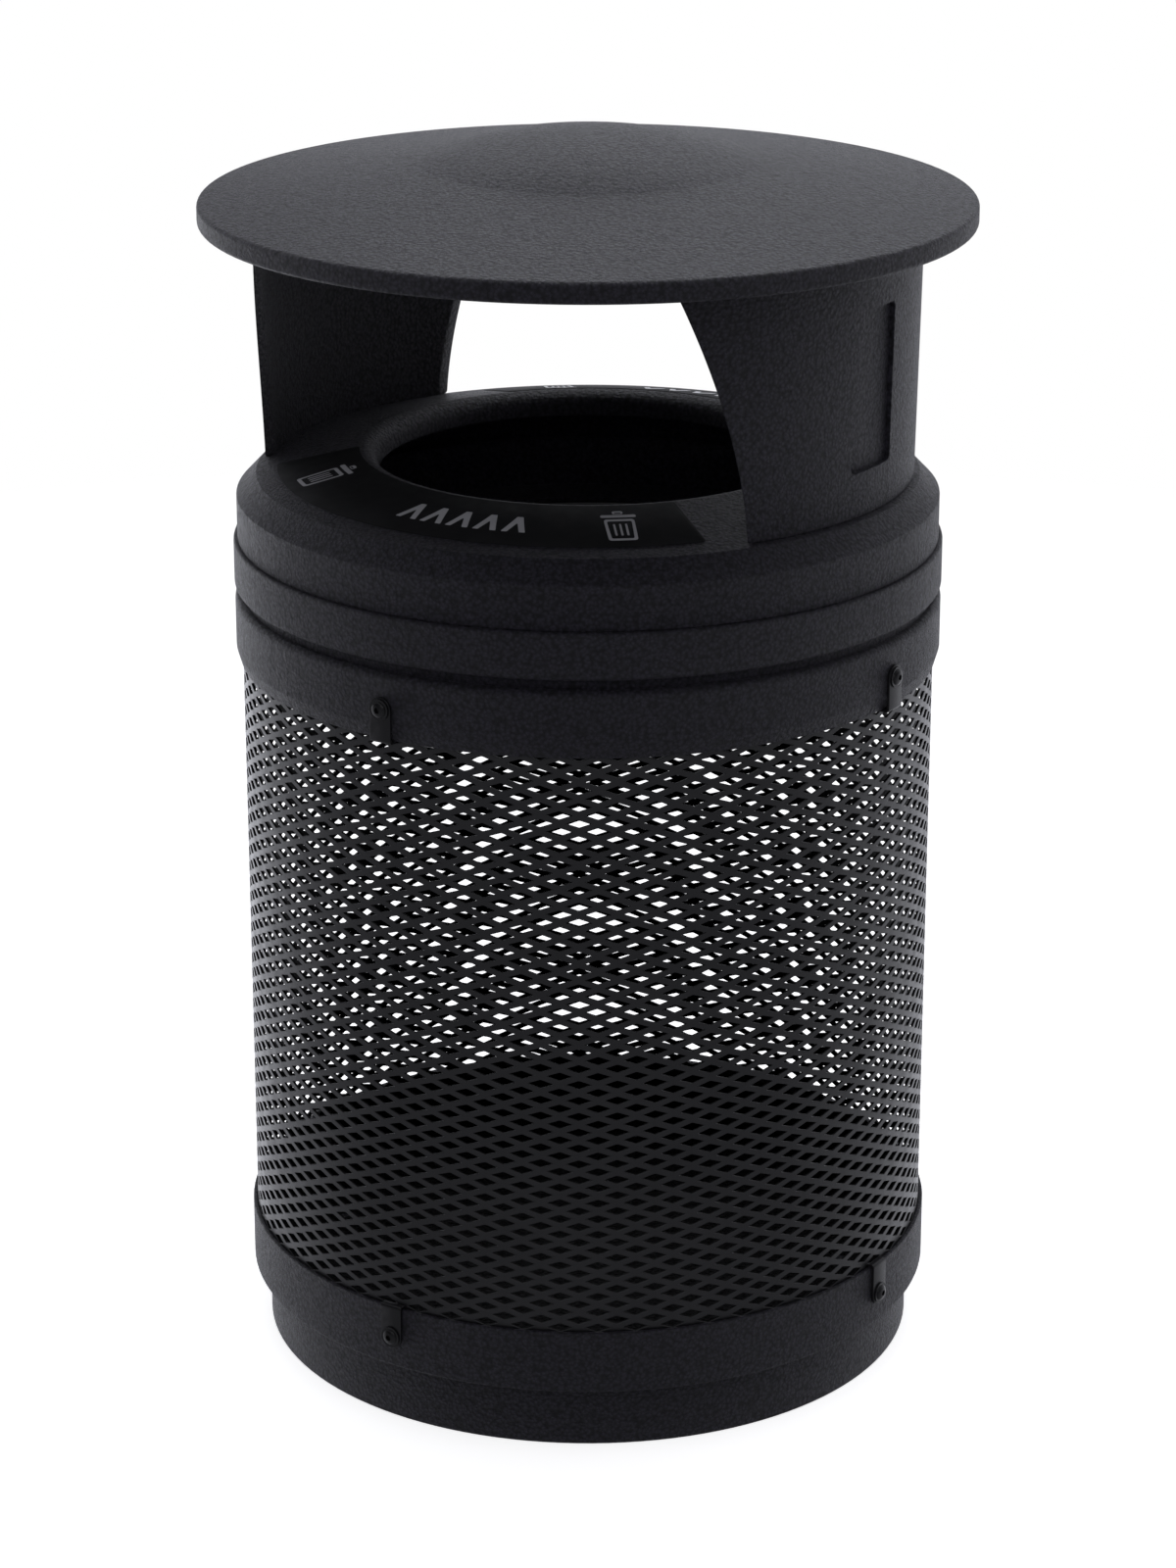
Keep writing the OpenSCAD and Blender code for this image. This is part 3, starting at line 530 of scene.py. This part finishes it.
def leg_piece(name, node, side):
    """A curved leg: bowed edges, rounded all round, with a sunk panel. side is 1 at +X."""
    foot = Vector((LEG_R * math.cos(math.radians(LEG_FOOT_HALF)), leg_foot))
    top = Vector((leg_at(leg_top) * math.cos(math.radians(LEG_TOP_HALF)), leg_top))
    chord = top - foot
    centre = (top + foot) / 2 + Vector((-chord.y, chord.x)).normalized() * math.sqrt(
        LEG_BOW ** 2 - (chord.length / 2) ** 2)

    def half_angle(z, r):
        x = centre.x + math.sqrt(LEG_BOW ** 2 - (z - centre.y) ** 2)
        return math.acos(min(1.0, x / r))

    heights = [leg_foot + (leg_top - leg_foot) * i / LEG_ROWS for i in range(LEG_ROWS + 1)]
    edge = [(half_angle(z, leg_at(z)) * LEG_R, z) for z in heights]
    outline = edge + [(-x, z) for x, z in reversed(edge)]
    straight = [0.0] * (LEG_ROWS - 1)
    radii = [4.0] + straight + [1.0, 1.0] + straight + [4.0]
    outline = dense(rounded_outline(outline, radii, 5), 6.0)
    mid = (leg_foot + leg_top) / 2 - PANEL_DROP
    x, low_z, high_z = PANEL_WIDE / 2, mid - PANEL_TALL / 2, mid + PANEL_TALL / 2
    panel = rounded_outline([(x, low_z), (x, high_z), (-x, high_z), (-x, low_z)], 5.0, 6)
    bm = bmesh.new()
    slab(bm, outline, 0.0, -LEG_WALL, 1.6, 4, (dense(panel, 6.0), PANEL_DEPTH, PANEL_EDGE))
    slice_x(bm, -210.0, 210.0, 5.0)

    def place(x, y, d):
        r = leg_at(y) + d
        a = x / LEG_R
        if abs(x) > MIDDLE:
            keep = MIDDLE / LEG_R
            whole, own = half_angle(y, leg_at(y)), half_angle(y, r)
            stretch = (own - keep) / (whole - keep)
            a = math.copysign(keep + (abs(x) / LEG_R - keep) * stretch, x)
        return (side * r * math.cos(a), side * r * math.sin(a), y)

    bend(bm, place)
    turn = 0.0 if side > 0 else 180.0
    flange_low, flange_high = leg_top - FLANGE_THICK, leg_top - 0.2
    flange_in = leg_at(leg_top) - LEG_WALL - FLANGE_REACH
    flange_out = leg_at(flange_low) - LEG_WALL + 1.0
    reach = math.degrees(half_angle(flange_low, flange_in)) - 0.4
    arc(bm, rounded_outline([(flange_in, flange_low), (flange_out, flange_low),
                             (flange_out, flange_high), (flange_in, flange_high)], 0.8, 3),
        turn - reach, turn + reach, 60)
    tongue_out = LEG_R - 1.0
    tongue_in = tongue_out - TONGUE_THICK
    tongue_low, tongue_high = cone_at(CONE_EDGE_R) - TONGUE_DEEP, leg_foot + 3.0
    tongue = rounded_outline([(tongue_in, tongue_low), (tongue_out, tongue_low),
                              (tongue_out, tongue_high), (tongue_in, tongue_high)], 0.6, 3)
    for a in TONGUE_ANGLES:
        arc(bm, tongue, turn + a - TONGUE_HALF, turn + a + TONGUE_HALF, 6)
    piece(name, bm, "lid", PLASTIC, (node,), 34.0)


# ---------------------------------------------------------------- clips

STRAP_WIDE, STRAP_THICK, STRAP_REACH, STRAP_BEND = 21.5, 2.5, 27.5, 3.0
TOUCH = 0.1                                # the gap between a strap and what it lies on


def clip_piece(name, node, angle, face_r, edge_z, side):
    """A bent strap: round end at the screw, hooked over the ring's edge to the mesh."""
    outer_r = face_r + TOUCH + STRAP_THICK
    foot_l = outer_r - drum_r - TOUCH
    strap_l = STRAP_REACH + TOUCH + STRAP_THICK
    straight, bend_l = strap_l - STRAP_BEND, STRAP_BEND * math.pi / 2
    total = strap_l + foot_l - 2 * STRAP_BEND + bend_l
    half = STRAP_WIDE / 2
    round_end = [(-half * math.sin(math.radians(t)), -half * math.cos(math.radians(t)))
                 for t in range(0, 181, 9)]
    outline = [(total, -half), (total, half)] + round_end[::-1]
    bm = bmesh.new()
    slab(bm, dense(outline, 3.0), 0.0, -STRAP_THICK, 0.5, 3)
    slice_x(bm, straight - 0.5, straight + bend_l + 0.5, 0.45)
    turned = math.radians(angle - 90.0)

    def place(x, y, d):
        if x <= straight:
            z, r = x, d
        elif x <= straight + bend_l:
            a = (x - straight) / STRAP_BEND
            z = straight + (STRAP_BEND + d) * math.sin(a)
            r = -STRAP_BEND + (STRAP_BEND + d) * math.cos(a)
        else:
            z, r = strap_l + d, -STRAP_BEND - (x - straight - bend_l)
        radius = outer_r + r
        return (radius * math.cos(turned) - y * math.sin(turned),
                radius * math.sin(turned) + y * math.cos(turned),
                edge_z - side * STRAP_REACH + side * z)

    bend(bm, place)
    piece(name, bm, "bin", CLIP, (node,), 30.0)


# ---------------------------------------------------------------- decals and their pictograms

DECAL_HALF, DECAL_IN, DECAL_WIDE, DECAL_THICK = math.radians(54.5), 201.0, 72.3, 0.4
DECAL_GAP = 0.1                            # from the cone to the back of the vinyl
INK_GAP, INK_THICK = 0.04, 0.05


def bin_sign():
    """A plain pictogram of a litter bin, as (outline, hole) pairs in millimetres."""
    can = [(-11.0, -15.0), (11.0, -15.0), (13.5, 11.0), (-13.5, 11.0)]
    can_in = [(-8.6, -12.6), (8.6, -12.6), (10.8, 8.6), (-10.8, 8.6)]
    lid = [(-16.0, 13.2), (16.0, 13.2), (16.0, 16.4), (-16.0, 16.4)]
    handle = [(-5.0, 17.4), (5.0, 17.4), (5.0, 21.0), (-5.0, 21.0)]
    handle_in = [(-3.0, 17.9), (3.0, 17.9), (3.0, 19.2), (-3.0, 19.2)]
    shapes = [(rounded_outline(can, 2.5, 4), rounded_outline(can_in, 1.4, 4))]
    for x in (-4.6, 0.0, 4.6):
        lean = x * 0.12
        rib = [(x - 0.9, -9.0), (x + 0.9, -9.0), (x + lean + 0.9, 5.2), (x + lean - 0.9, 5.2)]
        shapes.append((rounded_outline(rib, 0.8, 3), None))
    shapes.append((rounded_outline(lid, 1.4, 4), None))
    shapes.append((rounded_outline(handle, 1.6, 4), rounded_outline(handle_in, 0.5, 3)))
    return shapes


def chevron_sign():
    """A row of chevrons that point into the throat, as (outline, hole) pairs."""
    shapes = []
    for x in (-48.0, -24.0, 0.0, 24.0, 48.0):
        chevron = [(x - 10.0, -13.0), (x - 5.0, -13.0), (x, 3.0), (x + 5.0, -13.0),
                   (x + 10.0, -13.0), (x + 2.8, 13.0), (x - 2.8, 13.0)]
        shapes.append((rounded_outline(chevron, 0.7, 3), None))
    return shapes


def decal_piece(name, turn, print_material):
    """A vinyl sheet on the lid's cone, with pictograms printed on it."""
    mid_r = DECAL_IN + DECAL_WIDE / 2

    def place(x, y, d):
        """x along the arc, y inward from the decal's middle, d above the cone."""
        r = mid_r - y
        a = math.radians(turn - 90.0) + x / mid_r
        return (r * math.cos(a), r * math.sin(a), cone_at(r) + DECAL_GAP + d)

    reach, depth = DECAL_HALF * mid_r, DECAL_WIDE / 2
    sheet = [(-reach, -depth), (reach, -depth), (reach, depth), (-reach, depth)]
    bm = bmesh.new()
    slab(bm, dense(rounded_outline(sheet, 3.0, 5), 4.0), DECAL_THICK, 0.0, 0.15, 2)
    slice_x(bm, -reach, reach, 4.0)
    bend(bm, place)
    piece(name, bm, "lid", VINYL, (name,), 30.0)

    ink = bmesh.new()
    # shapes, degrees along the arc, millimetres inward, stretch inward
    signs = ((bin_sign(), -38.0, -4.0, 1.4), (bin_sign(), 40.0, -4.0, 1.4),
             (chevron_sign(), 7.5, -1.0, 1.0))
    for shapes, at, shift, tall in signs:
        middle = math.radians(at) * mid_r
        for outline, hole in shapes:
            edges = []
            for ring in (outline, hole) if hole else (outline,):
                loop = add_loop(ink, [(x + middle, y * tall + shift, DECAL_THICK + INK_GAP)
                                      for x, y in dense(ring, 3.0)])
                edges += [ink.edges.new((loop[i], loop[(i + 1) % len(loop)]))
                          for i in range(len(loop))]
            bmesh.ops.triangle_fill(ink, use_beauty=True, edges=edges)
    made = bmesh.ops.extrude_face_region(ink, geom=ink.faces[:])["geom"]
    for v in [g for g in made if isinstance(g, bmesh.types.BMVert)]:
        v.co.z += INK_THICK
    bend(ink, place)
    piece(name + "_print", ink, "lid", print_material, (), 30.0)


# ---------------------------------------------------------------- the model

drum_screen()
leg_piece("curved_leg_right", "leg_right", 1)
leg_piece("curved_leg_left", "leg_left", -1)
for which, spot in zip(("front", "right", "rear", "left"), (0.0, 90.0, 180.0, 270.0)):
    clip_piece("lower_strap_" + which, "lower_clip_" + which, spot, band_r, band_top, 1)
    clip_piece("upper_strap_" + which, "upper_clip_" + which, spot, ring_r, ring_low, -1)
decal_piece("decal_front", 0.0, PRINT)
decal_piece("decal_rear", 180.0, PRINT_REAR)

# The CAD nodes that are shown as they are, by material.
CARRIED = {TUB_PLASTIC: ("base_tub",),
           PLASTIC: ("upper_ring", "collar_ring", "lid_ring", "canopy"),
           MESH: ("lower_hoop", "upper_hoop"),
           CLIP: ("bag_ring",),
           SCREW: ("lower_clip_screws", "upper_clip_screws", "lock_nut"),
           ZINC: ("lower_clip_nuts", "upper_clip_nuts", "collar_screws", "collar_nuts",
                  "lock_keeper", "keeper_screws", "leg_screws", "canopy_screws", "lock_cam",
                  "cam_screw"),
           CHROME: ("lock_housing", "lock_plug")}
for material, names in CARRIED.items():
    for name in names:
        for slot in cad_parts[name].material_slots:
            slot.link = "OBJECT"
            slot.material = material

# ---------------------------------------------------------------- stage, lights and camera

CAMERA_TURN, CAMERA_DIP = 33.5, 19.32      # degrees round from the front, and down
CAMERA_AWAY, CAMERA_HEIGHT = 3.7134, 1.8121
FLOOR_R, FLOOR_FADE_IN, FLOOR_FADE_OUT, FLOOR_GLOW = 3.2, 1.1, 3.0, 0.78
BACK_GLOW, GROUND_GLOW, FRONT_GLOW, TOP_GLOW, DIM_GLOW = 0.45, 0.60, 0.26, 0.30, 0.075
ROOM_COLOUR = (0.915, 0.925, 1.0, 1.0)
COOL, NEUTRAL = (0.93, 0.95, 1.0), (0.95, 0.95, 1.0)
WHITE = (1.0, 1.0, 1.0, 1.0)


def soft_light(name, place, target, width, height, glow, colour):
    """A soft box of that radiance, turned towards a point."""
    lamp = bpy.data.lights.new(name, "AREA")
    lamp.shape = "RECTANGLE"
    lamp.size, lamp.size_y, lamp.color = width, height, colour
    lamp.energy = glow * math.pi * width * height
    obj = bpy.data.objects.new(name, lamp)
    obj.location = place
    obj.rotation_euler = (Vector(target) - Vector(place)).to_track_quat("-Z", "Y").to_euler()
    obj.visible_camera = False
    bpy.context.scene.collection.objects.link(obj)


def around(azimuth, distance, height):
    """A place at an azimuth from the camera's side, anticlockwise seen from above."""
    a = math.radians(CAMERA_TURN + azimuth)
    return (distance * math.sin(a), -distance * math.cos(a), height)


def studio_floor():
    """A round sheet of pale paper that fades out at its rim into the white studio."""
    bm = bmesh.new()
    bmesh.ops.create_circle(bm, cap_ends=True, segments=96, radius=FLOOR_R)
    mesh = bpy.data.meshes.new("studio_floor")
    bm.to_mesh(mesh)
    bm.free()
    obj = bpy.data.objects.new("studio_floor", mesh)
    obj.location.z = -0.0005
    obj.visible_diffuse = obj.visible_glossy = False
    bpy.context.scene.collection.objects.link(obj)
    paper = Nodes("studio_paper")
    fibre = paper.mixed(paper.scaled(paper.noise(3.0), 0.3, 0.7),
                        (0.86, 0.86, 0.86), (0.88, 0.88, 0.88))
    distance = paper.vector("LENGTH", paper.place)
    paper.link(paper.scaled(distance, FLOOR_FADE_IN, FLOOR_FADE_OUT, 1.0, 0.0),
               paper.shader.inputs["Alpha"])
    rough = paper.scaled(paper.noise(5.0), 0.3, 0.7, 0.85, 0.95)
    mesh.materials.append(paper.finish(fibre, rough, Emission_Color=WHITE,
                                       Emission_Strength=FLOOR_GLOW))


def studio_world():
    """White to the camera. To the object, a room bright behind and above and dim in front."""
    world = bpy.data.worlds.new("studio")
    bpy.context.scene.world = world
    world.use_nodes = True
    w = Tree(world.node_tree)
    direction = w.add("ShaderNodeTexCoord").outputs["Generated"]

    def glow(towards, start, stop, amount):
        along = w.vector("DOT_PRODUCT", direction, towards)
        return w.scaled(along, start, stop, 0.0, amount, "SMOOTHSTEP")

    below = glow((0.0, 0.0, -1.0), -0.12, 0.10, 1.0)
    rear_ground = glow(around(-160.0, 1.0, -0.2), 0.25, 0.95, GROUND_GLOW)
    ground = w.maths("MULTIPLY", below, w.maths("ADD", rear_ground, FRONT_GLOW))
    behind = glow(around(168.0, 1.0, 0.35), 0.0, 0.75, BACK_GLOW)
    above = w.maths("ADD", glow((0.0, 0.0, 1.0), 0.35, 1.0, TOP_GLOW), DIM_GLOW)
    room = w.tree.nodes["Background"]
    room.inputs["Color"].default_value = ROOM_COLOUR
    w.link(w.maths("ADD", w.maths("ADD", ground, behind), above), room.inputs["Strength"])
    white = w.add("ShaderNodeBackground")
    white.inputs["Color"].default_value = WHITE
    choose = w.add("ShaderNodeMixShader")
    w.link(w.add("ShaderNodeLightPath").outputs["Is Camera Ray"], choose.inputs[0])
    w.link(room.outputs[0], choose.inputs[1])
    w.link(white.outputs[0], choose.inputs[2])
    w.link(choose.outputs[0], w.tree.nodes["World Output"].inputs["Surface"])


studio_floor()
studio_world()
soft_light("top", around(180.0, 0.9, 3.0), (0, 0, 0.9), 2.4, 2.4, 0.9, COOL)
soft_light("rear_high", around(169.0, 1.35, 1.75), (0, 0, 1.1), 1.5, 0.75, 1.2, COOL)
soft_light("left_rear", around(-148.0, 2.4, 0.0), (0, 0, 0.5), 1.1, 1.6, 0.65, COOL)
soft_light("right_rear", (0.95, 0.75, 0.2), (0, 0, 0.6), 1.2, 1.0, 0.18, COOL)
soft_light("front", around(-8.0, 2.6, 2.15), (0, 0, 0.85), 2.2, 0.9, 1.6, NEUTRAL)
bpy.context.scene.view_settings.view_transform = "Standard"

camera_data = bpy.data.cameras.new("camera")
camera_data.lens = 100.0
camera_data.sensor_width = 36.0
camera = bpy.data.objects.new("camera", camera_data)
camera.location = around(0.0, CAMERA_AWAY, CAMERA_HEIGHT)
camera.rotation_euler = (math.radians(90.0 - CAMERA_DIP), 0.0, math.radians(CAMERA_TURN))
bpy.context.scene.collection.objects.link(camera)
bpy.context.scene.camera = camera
